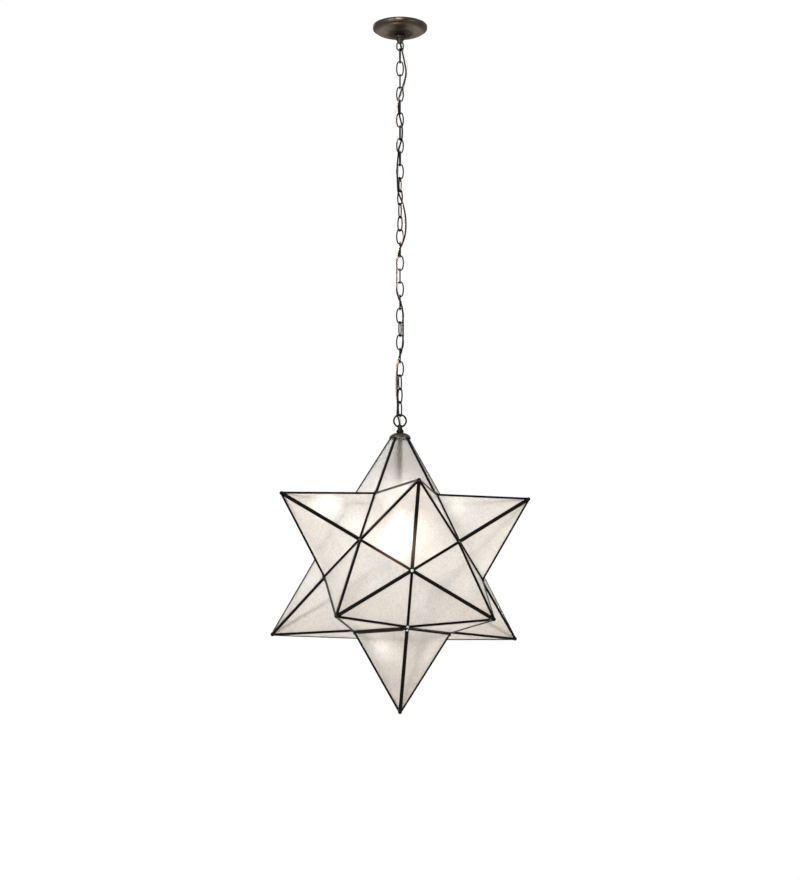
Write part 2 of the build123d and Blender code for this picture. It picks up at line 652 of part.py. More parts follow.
def cord(points, r, label):
    """tube of straight runs joined by tangent arcs along the points"""
    pts = [Vector(*p) for p in points]
    radii = []
    for i in range(1, len(pts) - 1):
        a, b = pts[i] - pts[i - 1], pts[i + 1] - pts[i]
        turn = math.radians(a.get_angle(b))
        radii.append(0.45 * min(a.length, b.length) / math.tan(turn / 2))
    print(label, "tightest radius", round(min(radii), 1), "of", len(radii))
    path = FilletPolyline(*pts, radius=radii)
    start = pts[1] - pts[0]
    face = Face(Wire.make_circle(r, Plane(origin=pts[0], z_dir=start)))
    tube = Solid.sweep(face, path)
    print(label, "length", round(path.length, 1), "volume", round(tube.volume), "section x length",
          round(math.pi * r * r * path.length))
    return tube


# routes, heights above the star's centre
CORD_POINTS = [
    (-1.1, 0.0, 1280.2), (1.7, -3.9, 1266.3), (5.2, -6.7, 1251.4), (8.7, -6.1, 1236.0), (11.6, -5.4, 1220.7),
    (14.6, -4.5, 1205.8), (13.9, -3.1, 1190.7), (9.9, -1.7, 1175.7), (6.2, -5.2, 1161.9), (1.4, -1.9, 1149.3),
    (-3.3, 3.7, 1135.5), (-4.3, 9.1, 1119.2), (-3.1, 10.0, 1103.0), (0.6, 6.0, 1086.7), (4.3, 4.7, 1071.8),
    (5.8, 3.3, 1055.5), (5.0, 5.5, 1038.1), (0.3, 5.3, 1021.9), (-3.1, -5.0, 1007.0), (-4.5, -5.0, 989.6),
    (-6.4, -4.7, 972.2), (-6.9, -4.7, 954.8), (-6.4, -4.7, 937.5), (-5.8, -4.2, 920.1), (-5.3, -1.5, 905.3),
    (-0.2, 4.5, 891.7), (5.9, 4.4, 878.1), (9.5, 3.6, 863.3), (12.6, 2.6, 847.3), (14.0, 2.0, 830.0),
    (14.0, 2.0, 811.6), (11.9, -1.4, 794.4), (7.2, -3.0, 778.4), (0.9, -3.3, 764.4), (-4.7, 3.4, 749.7),
    (-6.7, 4.0, 734.3), (-7.4, 3.6, 715.9), (-7.3, 3.0, 697.6), (-7.1, 4.5, 679.3), (-6.7, 4.2, 662.2),
    (-4.7, 4.9, 647.6), (0.2, 0.6, 634.2), (4.9, -3.7, 620.8), (7.1, -3.8, 603.8), (7.3, -3.6, 585.6),
    (7.3, -2.6, 567.4), (7.3, -5.0, 549.2), (6.6, -5.2, 532.3), (4.7, -5.1, 517.8), (0.0, 0.3, 504.5),
    (-4.7, 4.0, 490.5), (-6.6, 3.7, 474.3), (-7.1, 3.8, 455.0), (-7.1, 2.5, 435.8), (-6.7, 2.3, 416.5),
    (-6.1, 2.1, 399.7), (-5.6, -3.8, 382.9), (-6.2, -3.3, 369.7), (-7.1, -4.9, 359.0), (-1.9, -1.9, 348.2),
    (-0.6, 4.4, 335.7), (-0.8, 4.8, 327.6),
]
EARTH_POINTS = [
    (1.9, 0.3, 1280.2), (3.2, 3.4, 1267.6), (10.6, 4.5, 1253.7), (15.4, 4.2, 1238.6), (17.8, 3.6, 1224.7),
    (18.0, 3.1, 1209.6), (15.9, 3.2, 1194.5), (13.0, 3.8, 1179.4), (9.6, 5.1, 1164.4), (5.3, 3.2, 1149.3),
    (-1.3, -6.0, 1134.3), (-6.3, -6.9, 1119.2), (-10.1, -4.9, 1104.2), (-11.5, -3.6, 1089.2), (-11.5, -3.0, 1074.2),
    (-9.6, -3.3, 1058.0), (-7.6, -4.4, 1041.8), (-5.2, -4.6, 1026.9), (-4.1, 2.5, 1011.9), (-4.8, 4.7, 997.0),
    (-5.7, 4.9, 979.6), (-3.4, 4.8, 962.2), (-2.7, 5.1, 944.9), (0.6, 5.2, 927.6), (2.3, 4.0, 912.7),
    (3.0, -3.7, 895.4), (4.8, -1.5, 878.1), (6.5, -2.6, 863.3), (8.1, -4.3, 847.3), (10.9, -4.5, 830.0),
    (10.7, -4.3, 811.6), (8.1, -3.9, 794.4), (3.9, -2.7, 778.4), (-2.3, -4.1, 764.4), (-6.2, -4.4, 749.7),
    (-6.6, -4.4, 734.3), (-6.4, -4.4, 715.9), (-6.6, -4.4, 697.6), (-6.4, -4.5, 679.3), (-5.6, -4.4, 662.2),
    (-2.8, -3.5, 647.6), (4.0, 1.6, 634.2), (4.1, 5.1, 620.8), (5.2, 5.0, 603.8), (4.7, 5.0, 585.6),
    (5.4, 5.0, 567.4), (7.1, 4.9, 549.2), (6.6, 4.9, 532.3), (5.7, 3.9, 517.8), (3.8, 0.0, 504.5),
    (-4.2, -4.8, 490.5), (-8.0, -5.0, 474.3), (-10.3, -4.0, 455.0), (-10.6, -2.1, 435.8), (-10.1, 2.0, 416.5),
    (-7.9, 5.4, 399.7), (-6.8, 4.4, 382.9), (-5.1, 4.5, 369.7), (-1.0, 5.4, 359.0), (1.4, 6.7, 348.2),
    (2.4, 7.4, 335.7), (2.3, 4.8, 327.6),
]
keep("supply_cord", cord([(x, y, up(z)) for x, y, z in CORD_POINTS], CORD_R, "supply cord"))
keep("earth_wire", cord([(x, y, up(z)) for x, y, z in EARTH_POINTS], EARTH_R, "earth wire"))

# ---------------------------------------------------------------------------
for old in os.listdir("parts"):
    if old.endswith(".step") and old[:-5] not in nodes:
        os.remove(os.path.join("parts", old))
for name, solids in nodes.items():
    whole = solids[0] if len(solids) == 1 else Compound(children=[Solid(s.wrapped) for s in solids])
    export_step(whole, f"parts/{name}.step")
print(len(nodes), "nodes")
print("hinge axis point", [round(v, 4) for v in H_C], "direction", [round(v, 6) for v in H_DIR])
print("link centres", [round(z, 3) for z in link_z])
print("loop low wire", round(LOOP_LOW, 3), "eye", round(up(EYE_Z), 3))
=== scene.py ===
"""Looks of the glass star pendant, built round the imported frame. Metres, +Z up, the ceiling plane at z = 0."""

import json
import math

import bmesh
import bpy
from mathutils import Matrix, Vector


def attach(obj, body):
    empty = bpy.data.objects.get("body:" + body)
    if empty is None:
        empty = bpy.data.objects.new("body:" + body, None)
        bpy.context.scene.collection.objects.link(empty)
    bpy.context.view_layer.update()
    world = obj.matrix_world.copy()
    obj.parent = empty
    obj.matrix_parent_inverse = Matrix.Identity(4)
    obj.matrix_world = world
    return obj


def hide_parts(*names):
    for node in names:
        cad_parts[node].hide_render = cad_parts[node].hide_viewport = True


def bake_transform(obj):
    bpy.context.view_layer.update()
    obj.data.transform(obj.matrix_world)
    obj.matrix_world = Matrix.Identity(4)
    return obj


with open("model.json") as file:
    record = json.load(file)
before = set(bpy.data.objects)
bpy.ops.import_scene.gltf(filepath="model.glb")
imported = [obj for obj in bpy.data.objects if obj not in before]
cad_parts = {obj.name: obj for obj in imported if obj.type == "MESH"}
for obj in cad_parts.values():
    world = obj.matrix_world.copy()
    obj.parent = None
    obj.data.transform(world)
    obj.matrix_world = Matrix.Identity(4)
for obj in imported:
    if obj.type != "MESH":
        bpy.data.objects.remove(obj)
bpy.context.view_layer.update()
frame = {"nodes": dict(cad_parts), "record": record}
scene = bpy.context.scene
nodes = frame["nodes"]

STAR_DROP = 1.3195
C = Vector((0, 0, -STAR_DROP))

# ---------------------------------------------------------------------------
# camera: fitted to the star's corners, 800 x 880
# ---------------------------------------------------------------------------
cam_data = bpy.data.cameras.new("camera")
cam_data.sensor_width = 36.0
cam_data.lens = 2807.74 / 880 * 36.0
cam_data.clip_start = 0.05
cam_data.clip_end = 60
cam = bpy.data.objects.new("camera", cam_data)
scene.collection.objects.link(cam)
cam.location = (0.0, -6.44962, -0.97381 - STAR_DROP)
cam.rotation_euler = (math.pi / 2 + 0.19505, 0, 0)
scene.camera = cam

# ---------------------------------------------------------------------------
# materials
# ---------------------------------------------------------------------------


class Graph:
    """small helper for node graphs"""

    def __init__(self, name):
        self.mat = bpy.data.materials.new(name)
        self.mat.use_nodes = True
        self.t = self.mat.node_tree
        self.t.nodes.clear()
        self.out = self.add("ShaderNodeOutputMaterial")

    def add(self, kind, **kw):
        n = self.t.nodes.new(kind)
        for k, v in kw.items():
            setattr(n, k, v)
        return n

    def link(self, a, b):
        self.t.links.new(a, b)

    def set(self, n, **kw):
        for k, v in kw.items():
            n.inputs[k.replace("_", " ")].default_value = v
        return n

    def coords(self):
        return self.add("ShaderNodeTexCoord").outputs["Object"]

    def noise(self, scale, detail=4.0, rough=0.55, vec=None, distortion=0.0):
        n = self.add("ShaderNodeTexNoise")
        n.inputs["Scale"].default_value = scale
        n.inputs["Detail"].default_value = detail
        n.inputs["Roughness"].default_value = rough
        n.inputs["Distortion"].default_value = distortion
        self.link(vec or self.coords(), n.inputs["Vector"])
        return n.outputs["Fac"]

    def ramp(self, fac, stops, interp="LINEAR"):
        n = self.add("ShaderNodeValToRGB")
        n.color_ramp.interpolation = interp
        e = n.color_ramp.elements
        while len(e) > 2:
            e.remove(e[-1])
        e[0].position, e[0].color = stops[0][0], (*stops[0][1], 1)
        e[1].position, e[1].color = stops[-1][0], (*stops[-1][1], 1)
        for p, c in stops[1:-1]:
            x = e.new(p)
            x.color = (*c, 1)
        self.link(fac, n.inputs["Fac"])
        return n.outputs["Color"]

    def range(self, v, a, b, c, d, clamp=True):
        n = self.add("ShaderNodeMapRange")
        n.clamp = clamp
        for i, x in zip(("From Min", "From Max", "To Min", "To Max"), (a, b, c, d)):
            n.inputs[i].default_value = x
        self.link(v, n.inputs["Value"])
        return n.outputs["Result"]

    def math(self, op, a, b=None):
        n = self.add("ShaderNodeMath", operation=op)
        for i, x in enumerate((a, b)):
            if x is None:
                continue
            if isinstance(x, (int, float)):
                n.inputs[i].default_value = x
            else:
                self.link(x, n.inputs[i])
        return n.outputs[0]

    def mix(self, fac, a, b, blend="MIX"):
        n = self.add("ShaderNodeMix", data_type="RGBA", blend_type=blend)
        for s, x in ((n.inputs[0], fac), (n.inputs[6], a), (n.inputs[7], b)):
            if isinstance(x, (int, float)):
                s.default_value = x
            elif isinstance(x, tuple):
                s.default_value = (*x, 1)
            else:
                self.link(x, s)
        return n.outputs[2]

    def bump(self, height, strength, distance, normal=None):
        n = self.add("ShaderNodeBump")
        n.inputs["Strength"].default_value = strength
        n.inputs["Distance"].default_value = distance
        self.link(height, n.inputs["Height"])
        if normal is not None:
            self.link(normal, n.inputs["Normal"])
        return n.outputs["Normal"]

    def principled(self, **kw):
        n = self.add("ShaderNodeBsdfPrincipled")
        for k, v in kw.items():
            s = n.inputs[k]
            if hasattr(v, "is_linked") or hasattr(v, "links"):
                self.link(v, s)
            elif isinstance(v, tuple) and len(v) == 3 and s.type == "RGBA":
                s.default_value = (*v, 1)
            else:
                s.default_value = v
        return n


def apexes():
    """the star's points, from its centre, metres"""
    out = {"T": Vector((0, 0, 0.341)), "B": Vector((0, 0, -0.341))}
    r, z = 2 * 0.341 / math.sqrt(5), 0.341 / math.sqrt(5)
    for k in range(5):
        for name, turn, h in (("U", 8.06 + 72 * k, z), ("L", 44.06 + 72 * k, -z)):
            t = math.radians(turn)
            out[f"{name}{k}"] = Vector((r * math.sin(t), -r * math.cos(t), h))
    return out


APEX = apexes()


def inner(a, b, c):
    """inward corner between three neighbouring points"""
    return (APEX[a] + APEX[b] + APEX[c]).normalized() * 0.1966


def spot(a, b, c, d, depth, side=0.0):
    """a place on the panel of point a whose base runs from corner (a b c) to corner (a b d)"""
    p, q = inner(a, b, c), inner(a, b, d)
    base = p.lerp(q, 0.5 + side)
    return C + APEX[a].lerp(base, depth)


def glass():
    """seeded glass with a frosted inner face: blurs what is behind it, and has a painted glow round the lamp"""
    g = Graph("seeded_glass")
    co = g.coords()
    # short vertical grain, fine seeds, and larger soft clouds
    stretch = g.add("ShaderNodeMapping")
    stretch.inputs["Scale"].default_value = (1.0, 1.0, 0.30)
    g.link(co, stretch.inputs["Vector"])
    grain = g.noise(520, 3.0, 0.75, stretch.outputs[0])
    fleck = g.noise(210, 3.0, 0.6, stretch.outputs[0])
    cloud = g.noise(11, 5.0, 0.62, co, 0.5)
    cloud2 = g.noise(26, 3.0, 0.5, co, 0.3)
    tone = g.mix(g.range(cloud, 0.36, 0.64, 0.0, 1.0), (0.99, 0.98, 0.965), (0.905, 0.895, 0.892))
    tone = g.mix(g.range(cloud2, 0.44, 0.70, 0.0, 0.8), tone, (0.99, 0.965, 0.935))
    # the top point gets less of the lamp's light and looks cooler
    high = g.add("ShaderNodeSeparateXYZ")
    g.link(co, high.inputs[0])
    tone = g.mix(g.range(high.outputs["Z"], -STAR_DROP + 0.13, -STAR_DROP + 0.25, 0.0, 0.9), tone, (0.835, 0.83, 0.805))
    # painted light and shade: a warm glow tint painted in away from the lamp, and painted shade lower down
    away = g.add("ShaderNodeVectorMath", operation="DISTANCE")
    g.link(co, away.inputs[0])
    away.inputs[1].default_value = tuple(C)
    far = g.range(away.outputs["Value"], 0.20, 0.33, 0.0, 1.0)
    low = g.range(high.outputs["Z"], -STAR_DROP - 0.17, -STAR_DROP - 0.03, 1.0, 0.0)
    tone = g.mix(g.math("MULTIPLY", far, g.math("SUBTRACT", 1.0, g.range(high.outputs["Z"], -STAR_DROP + 0.17, -STAR_DROP + 0.22, 0.0, 0.6))),
                 tone, (1.0, 0.978, 0.952), "MULTIPLY")
    tone = g.mix(low, tone, (0.885, 0.878, 0.868), "MULTIPLY")
    dark = g.math("MULTIPLY", g.range(grain, 0.32, 0.60, GRAIN_LOW, 1.0), g.range(fleck, 0.34, 0.56, 0.90, 1.0))
    tone = g.mix(1.0, tone, dark, "MULTIPLY")
    first = g.add("ShaderNodeBump")
    first.inputs["Distance"].default_value = 0.0008
    g.link(g.range(high.outputs["Z"], -STAR_DROP + 0.17, -STAR_DROP + 0.25, 0.22, 1.0), first.inputs["Strength"])
    g.link(fleck, first.inputs["Height"])
    b1 = g.bump(grain, 0.15, 0.0008, first.outputs["Normal"])
    b1 = g.bump(cloud2, 0.12, 0.003, b1)
    fine = g.range(high.outputs["Z"], -STAR_DROP + 0.17, -STAR_DROP + 0.25, ROUGH_FINE, 0.045)
    clear = g.principled(**{"Base Color": tone, "Roughness": fine, "IOR": 1.46, "Transmission Weight": 1.0, "Normal": b1})
    broad = g.principled(**{"Base Color": tone, "Roughness": 0.48, "IOR": 1.46, "Transmission Weight": 1.0, "Normal": b1})
    m0 = g.add("ShaderNodeMixShader")
    g.link(g.range(high.outputs["Z"], -STAR_DROP + 0.165, -STAR_DROP + 0.24, BROAD, 0.05), m0.inputs[0])
    g.link(clear.outputs[0], m0.inputs[1])
    g.link(broad.outputs[0], m0.inputs[2])
    milk = g.add("ShaderNodeBsdfTranslucent")
    g.link(g.mix(1.0, tone, (1.0, 0.972, 0.935), "MULTIPLY"), milk.inputs["Color"])
    g.link(b1, milk.inputs["Normal"])
    m = g.add("ShaderNodeMixShader")
    g.link(g.range(high.outputs["Z"], -STAR_DROP + 0.165, -STAR_DROP + 0.24, MILK, 0.07), m.inputs[0])
    g.link(m0.outputs[0], m.inputs[1])
    g.link(milk.outputs[0], m.inputs[2])
    # painted light: emission stands in for lamp light caught in the frosted face, even, and in soft pools where the
    # panels throw it back
    glow = None
    for centre, radius, gain in PAINTED_LIGHT_POOLS:
        d = g.add("ShaderNodeVectorMath", operation="DISTANCE")
        g.link(co, d.inputs[0])
        d.inputs[1].default_value = centre
        f = g.range(d.outputs["Value"], 0.0, radius, 1.0, 0.0)
        f = g.math("MULTIPLY", g.math("POWER", f, 1.6), gain)
        glow = f if glow is None else g.math("ADD", glow, f)
    glow = g.math("ADD", glow, g.range(high.outputs["Z"], -STAR_DROP + 0.15, -STAR_DROP + 0.23, GLOW_BASE, 0.04))
    em = g.add("ShaderNodeEmission")
    g.link(g.mix(1.0, tone, (1.0, 0.965, 0.915), "MULTIPLY"), em.inputs["Color"])
    g.link(glow, em.inputs["Strength"])
    lit = g.add("ShaderNodeAddShader")
    g.link(m.outputs[0], lit.inputs[0])
    g.link(em.outputs[0], lit.inputs[1])
    # lamp light passes straight through, so that it is sampled without noise
    lp = g.add("ShaderNodeLightPath")
    tr = g.add("ShaderNodeBsdfTransparent")
    tr.inputs["Color"].default_value = (0.90, 0.88, 0.86, 1)
    m2 = g.add("ShaderNodeMixShader")
    g.link(lp.outputs["Is Shadow Ray"], m2.inputs[0])
    g.link(lit.outputs[0], m2.inputs[1])
    g.link(tr.outputs[0], m2.inputs[2])
    g.link(m2.outputs[0], g.out.inputs["Surface"])
    return g.mat


GRAIN_LOW = 0.70
ROUGH_FINE = 0.11
BROAD = 0.22
MILK = 0.18
GLOW_BASE = 0.10
# painted light pools: spots on the glass that glow as emission where the panels throw lamp light back
PAINTED_LIGHT_POOLS = []
for a, b, c, depth, side, radius, gain in (
        ("U4", "U0", "L4", 0.53, 0.02, 0.050, 0.55), ("U1", "U0", "L0", 0.82, -0.2, 0.054, 0.16),
        ("U2", "U3", "L2", 0.60, 0.0, 0.075, 0.6), ("U3", "U2", "L2", 0.60, 0.0, 0.075, 0.6)):
    # an upper point's panel that faces its upper neighbour
    PAINTED_LIGHT_POOLS.append((spot(a, b, "T", c, depth, side), radius, gain))
MAIN = spot("U0", "L4", "U4", "L0", 0.78, 0.0)
PAINTED_LIGHT_POOLS.append((MAIN + Vector((0.0, 0.0, -0.016)), 0.050, 0.34))
PAINTED_LIGHT_POOLS.append((spot("T", "U0", "U4", "U1", 0.93, -0.12), 0.075, 0.26))
for k, gain in ((4, 0.30), (1, 0.30), (2, 0.30)):
    # the door's panels, near their upper edge
    PAINTED_LIGHT_POOLS.append((spot("B", f"L{k}", f"L{(k + 1) % 5}", f"L{(k - 1) % 5}", 0.78, 0.06), 0.052, gain))


# strength of the painted glow on the solder lines
HALO = 0.26


def solder():
    """black patina over rounded solder, with a little of the silver showing"""
    g = Graph("black_solder")
    co = g.coords()
    n1 = g.noise(55, 4.0, 0.6, co)
    n2 = g.noise(420, 3.0, 0.6, co)
    col = g.ramp(n1, [(0.0, (0.0022, 0.0019, 0.0016)), (0.62, (0.004, 0.0034, 0.0028)), (0.85, (0.018, 0.015, 0.012))])
    rough = g.range(n2, 0.3, 0.7, 0.28, 0.46)
    b = g.bump(n1, 0.35, 0.0012)
    b = g.bump(n2, 0.2, 0.0003, b)
    # painted glow: emission near the main pool turns the thinnest lines brown, standing in for the lamp behind them
    d = g.add("ShaderNodeVectorMath", operation="DISTANCE")
    g.link(co, d.inputs[0])
    d.inputs[1].default_value = MAIN + Vector((0.014, 0.0, -0.006))
    painted_halo = g.math("MULTIPLY", g.math("POWER", g.range(d.outputs["Value"], 0.016, 0.080, 1.0, 0.0), 1.5), HALO)
    p = g.principled(**{"Base Color": col, "Metallic": 0.3, "Roughness": rough, "Specular IOR Level": 0.08, "Normal": b,
                        "Emission Color": (1.0, 0.52, 0.27)})
    g.link(painted_halo, p.inputs["Emission Strength"])
    g.link(p.outputs[0], g.out.inputs["Surface"])
    return g.mat


def silver_solder():
    """solder joints: patina thin, the tin shows on the crowns as painted glints"""
    g = Graph("solder_joint")
    co = g.coords()
    n1 = g.noise(160, 4.0, 0.6, co)
    col = g.ramp(n1, [(0.42, (0.004, 0.0036, 0.0033)), (0.60, (0.012, 0.011, 0.010)), (0.74, (0.13, 0.13, 0.13))])
    # painted glints: bright tin colour on the crown of the balls at the inward corners
    d = g.add("ShaderNodeVectorMath", operation="DISTANCE")
    g.link(co, d.inputs[0])
    d.inputs[1].default_value = tuple(C)
    painted_glint = g.math("MULTIPLY", g.range(d.outputs["Value"], 0.1992, 0.2010, 0.0, 1.0), g.range(d.outputs["Value"], 0.2030, 0.2035, 1.0, 0.0))
    # the painted glints are full at two corners, and the other balls stay nearly black
    near = None
    for corner in (inner("U0", "L0", "L4"), inner("B", "L0", "L4")):
        e = g.add("ShaderNodeVectorMath", operation="DISTANCE")
        g.link(co, e.inputs[0])
        e.inputs[1].default_value = C + corner
        f = g.range(e.outputs["Value"], 0.012, 0.014, 1.0, 0.0)
        near = f if near is None else g.math("ADD", near, f)
    painted_glint = g.math("MULTIPLY", painted_glint, g.math("ADD", g.math("MULTIPLY", near, 0.85), 0.08))
    col = g.mix(painted_glint, col, (0.62, 0.68, 0.72))
    b = g.bump(n1, 0.5, 0.0009)
    p = g.principled(**{"Base Color": col, "Metallic": 0.9, "Roughness": 0.26, "Specular IOR Level": 0.15, "Normal": b})
    g.link(p.outputs[0], g.out.inputs["Surface"])
    return g.mat


def bronze(name, base=(0.070, 0.050, 0.032), warm=(0.125, 0.092, 0.062), rough=0.33, rubbed=(0.26, 0.20, 0.14), spec=0.3,
           metallic=0.9):
    """oil-rubbed bronze: brown black, warmer where rubbed"""
    g = Graph(name)
    co = g.coords()
    n1 = g.noise(70, 5.0, 0.65, co)
    n2 = g.noise(700, 3.0, 0.5, co)
    geo = g.add("ShaderNodeNewGeometry")
    edge = g.range(geo.outputs["Pointiness"], 0.50, 0.58, 0.0, 1.0)
    col = g.mix(g.range(n1, 0.35, 0.7, 0.0, 0.45), base, warm)
    col = g.mix(g.math("MULTIPLY", edge, 0.5), col, rubbed)
    r = g.range(n2, 0.3, 0.7, rough - 0.07, rough + 0.09)
    b = g.bump(n2, 0.035, 0.0002)
    p = g.principled(**{"Base Color": col, "Metallic": metallic, "Roughness": r, "Specular IOR Level": spec, "Normal": b})
    g.link(p.outputs[0], g.out.inputs["Surface"])
    return g.mat


def metal(name, a, b_, rough=0.35, scale=240):
    g = Graph(name)
    co = g.coords()
    n = g.noise(scale, 4.0, 0.6, co)
    col = g.mix(g.range(n, 0.3, 0.7, 0.0, 1.0), a, b_)
    p = g.principled(**{"Base Color": col, "Metallic": 1.0, "Roughness": g.range(n, 0.3, 0.7, rough - 0.08, rough + 0.1),
                        "Normal": g.bump(n, 0.15, 0.0003)})
    g.link(p.outputs[0], g.out.inputs["Surface"])
    return g.mat


def plastic(name, a, b_, rough=0.45, scale=300, bump=0.15, spec=0.5):
    g = Graph(name)
    co = g.coords()
    n = g.noise(scale, 4.0, 0.6, co)
    col = g.mix(g.range(n, 0.3, 0.7, 0.0, 1.0), a, b_)
    p = g.principled(**{"Base Color": col, "Roughness": g.range(n, 0.3, 0.7, rough - 0.08, rough + 0.1),
                        "Specular IOR Level": spec, "Normal": g.bump(n, bump, 0.0003)})
    g.link(p.outputs[0], g.out.inputs["Surface"])
    return g.mat


BULB_POWER = 9.0


def bulb():
    """opal glass, lit strongest round its lower end"""
    g = Graph("opal_bulb")
    co = g.coords()
    n = g.noise(60, 3.0, 0.5, co)
    col = g.mix(n, (1.0, 0.97, 0.92), (1.0, 0.95, 0.88))
    d = g.add("ShaderNodeVectorMath", operation="DISTANCE")
    g.link(co, d.inputs[0])
    d.inputs[1].default_value = (0, 0, -STAR_DROP + 0.042)
    f = g.range(d.outputs["Value"], 0.020, 0.055, BULB_POWER, 0.8)
    p = g.principled(**{"Base Color": col, "Roughness": 0.4, "Emission Color": (1.0, 0.90, 0.76)})
    g.link(f, p.inputs["Emission Strength"])
    g.link(p.outputs[0], g.out.inputs["Surface"])
    return g.mat


def canopy_bronze():
    """the ceiling dish: dark stripes that follow the flutes, a painted shadow ring by the boss, and a painted highlight
    on the left and right of the slope outside them
    """
    g = Graph("canopy_bronze")
    co = g.coords()
    xyz = g.add("ShaderNodeSeparateXYZ")
    g.link(co, xyz.inputs[0])
    x, y = xyz.outputs["X"], xyz.outputs["Y"]
    r = g.math("SQRT", g.math("ADD", g.math("MULTIPLY", x, x), g.math("MULTIPLY", y, y)))
    turn = g.math("COSINE", g.math("MULTIPLY", g.math("ARCTAN2", y, x), 30.0))
    n1 = g.noise(55, 4.0, 0.6, co)
    n2 = g.noise(700, 3.0, 0.5, co)
    dark, mid, light = (0.016, 0.010, 0.006), (0.046, 0.031, 0.020), (0.29, 0.24, 0.19)
    zone = g.math("MULTIPLY", g.range(r, 0.018, 0.023, 0.0, 1.0), g.range(r, 0.030, 0.036, 1.0, 0.0))
    groove = g.math("MULTIPLY", zone, g.range(turn, -0.5, 0.7, 0.0, 1.0))
    side = g.range(g.math("ABSOLUTE", x), 0.008, 0.040, 0.0, 1.0)
    painted_highlight_zone = g.math("MULTIPLY", g.range(r, 0.020, 0.034, 0.0, 1.0), g.range(r, 0.053, 0.060, 1.0, 0.15))
    col = g.mix(g.range(n1, 0.35, 0.7, 0.0, 0.35), mid, (0.088, 0.066, 0.046))
    # painted highlight: the slope is lighter on its left and right sides
    col = g.mix(g.math("MULTIPLY", painted_highlight_zone, g.math("MULTIPLY", side, 0.85)), col, light)
    # dark stripes that follow the flutes
    col = g.mix(g.math("MULTIPLY", groove, 0.8), col, dark)
    # painted shadow ring round the boss
    col = g.mix(g.range(r, 0.014, 0.021, 0.8, 0.0), col, dark)
    rough = g.range(n2, 0.3, 0.7, 0.27, 0.38)
    p = g.principled(**{"Base Color": col, "Metallic": 0.9, "Roughness": rough, "Specular IOR Level": 0.3, "Normal": g.bump(n2, 0.03, 0.0002)})
    g.link(p.outputs[0], g.out.inputs["Surface"])
    return g.mat


M = {
    "seeded_glass": glass(),
    "black_solder": solder(),
    "solder_joint": silver_solder(),
    "dark_bronze": bronze("dark_bronze"),
    "chain_bronze": bronze("chain_bronze", (0.004, 0.0032, 0.0025), (0.016, 0.012, 0.008), 0.38, (0.035, 0.026, 0.018), 0.12, 0.4),
    "zinc_steel": metal("zinc_steel", (0.55, 0.55, 0.53), (0.68, 0.68, 0.66)),
    "blackened_brass": bronze("blackened_brass", (0.004, 0.0035, 0.003), (0.014, 0.011, 0.009), 0.40, (0.035, 0.028, 0.021), 0.12, 0.4),
    "cord_black": plastic("cord_black", (0.003, 0.003, 0.003), (0.006, 0.0058, 0.0055), 0.48, spec=0.12),
    "bare_copper": metal("bare_copper", (0.72, 0.45, 0.32), (0.82, 0.58, 0.44), 0.4, 900),
    "holder_porcelain": plastic("holder_porcelain", (0.40, 0.37, 0.33), (0.46, 0.43, 0.38), 0.25, 60),
    "shell_brass": metal("shell_brass", (0.72, 0.52, 0.22), (0.82, 0.62, 0.30)),
    "opal_bulb": bulb(),
}
slot_of = {s["node"]: s["material_slot"] for s in frame["record"]["subparts"]}
M["cap_bronze"] = bronze("cap_bronze", (0.030, 0.024, 0.017), (0.062, 0.050, 0.036), 0.32, (0.12, 0.098, 0.07), 0.2, 0.8)
M["dark_steel"] = metal("dark_steel", (0.012, 0.010, 0.008), (0.05, 0.042, 0.034), 0.35)
for name, o in nodes.items():
    mat = M["dark_steel" if name in ("lamp_stem", "stem_locknuts") else "cap_bronze" if name in ("top_cap", "canopy_loop") else
            "chain_bronze" if name in ("hanging_ring", "cap_neck", "neck_bead") else "solder_joint" if name in ("solder_joints", "door_solder") else slot_of[name]]
    o.data.materials.clear()
    o.data.materials.append(mat)

# ---------------------------------------------------------------------------
# pieces drawn here in place of plain ones
# ---------------------------------------------------------------------------


def make(name, verts, faces, mat, smooth=True):
    me = bpy.data.meshes.new(name)
    me.from_pydata(verts, [], faces)
    me.update()
    if smooth:
        me.polygons.foreach_set("use_smooth", [True] * len(me.polygons))
    me.materials.append(mat)
    o = bpy.data.objects.new(name, me)
    scene.collection.objects.link(o)
    return o


def chaikin(pts, times=2):
    """rounds the corners of an open outline"""
    for _ in range(times):
        out = [pts[0]]
        for (a, b), (c, d) in zip(pts, pts[1:]):
            out += [(0.75 * a + 0.25 * c, 0.75 * b + 0.25 * d), (0.25 * a + 0.75 * c, 0.25 * b + 0.75 * d)]
        out.append(pts[-1])
        pts = out
    return pts


def lathe(name, outline, count, mat, shape=None):
    """closed ring of the outline (radius, height in mm) turned about Z"""
    n = len(outline)
    verts, faces = [], []
    for i in range(count):
        t = 2 * math.pi * i / count
        for r, z in outline:
            if shape:
                r, z = shape(r, z, t)
            verts.append((r * math.cos(t) / 1000, r * math.sin(t) / 1000, z / 1000))
    for i in range(count):
        j = (i + 1) % count
        for k in range(n):
            m = (k + 1) % n
            faces.append((i * n + k, i * n + m, j * n + m, j * n + k))
    o = make(name, verts, faces, mat)
    bm = bmesh.new()
    bm.from_mesh(o.data)
    bmesh.ops.recalc_face_normals(bm, faces=bm.faces)
    bm.to_mesh(o.data)
    bm.free()
    return o


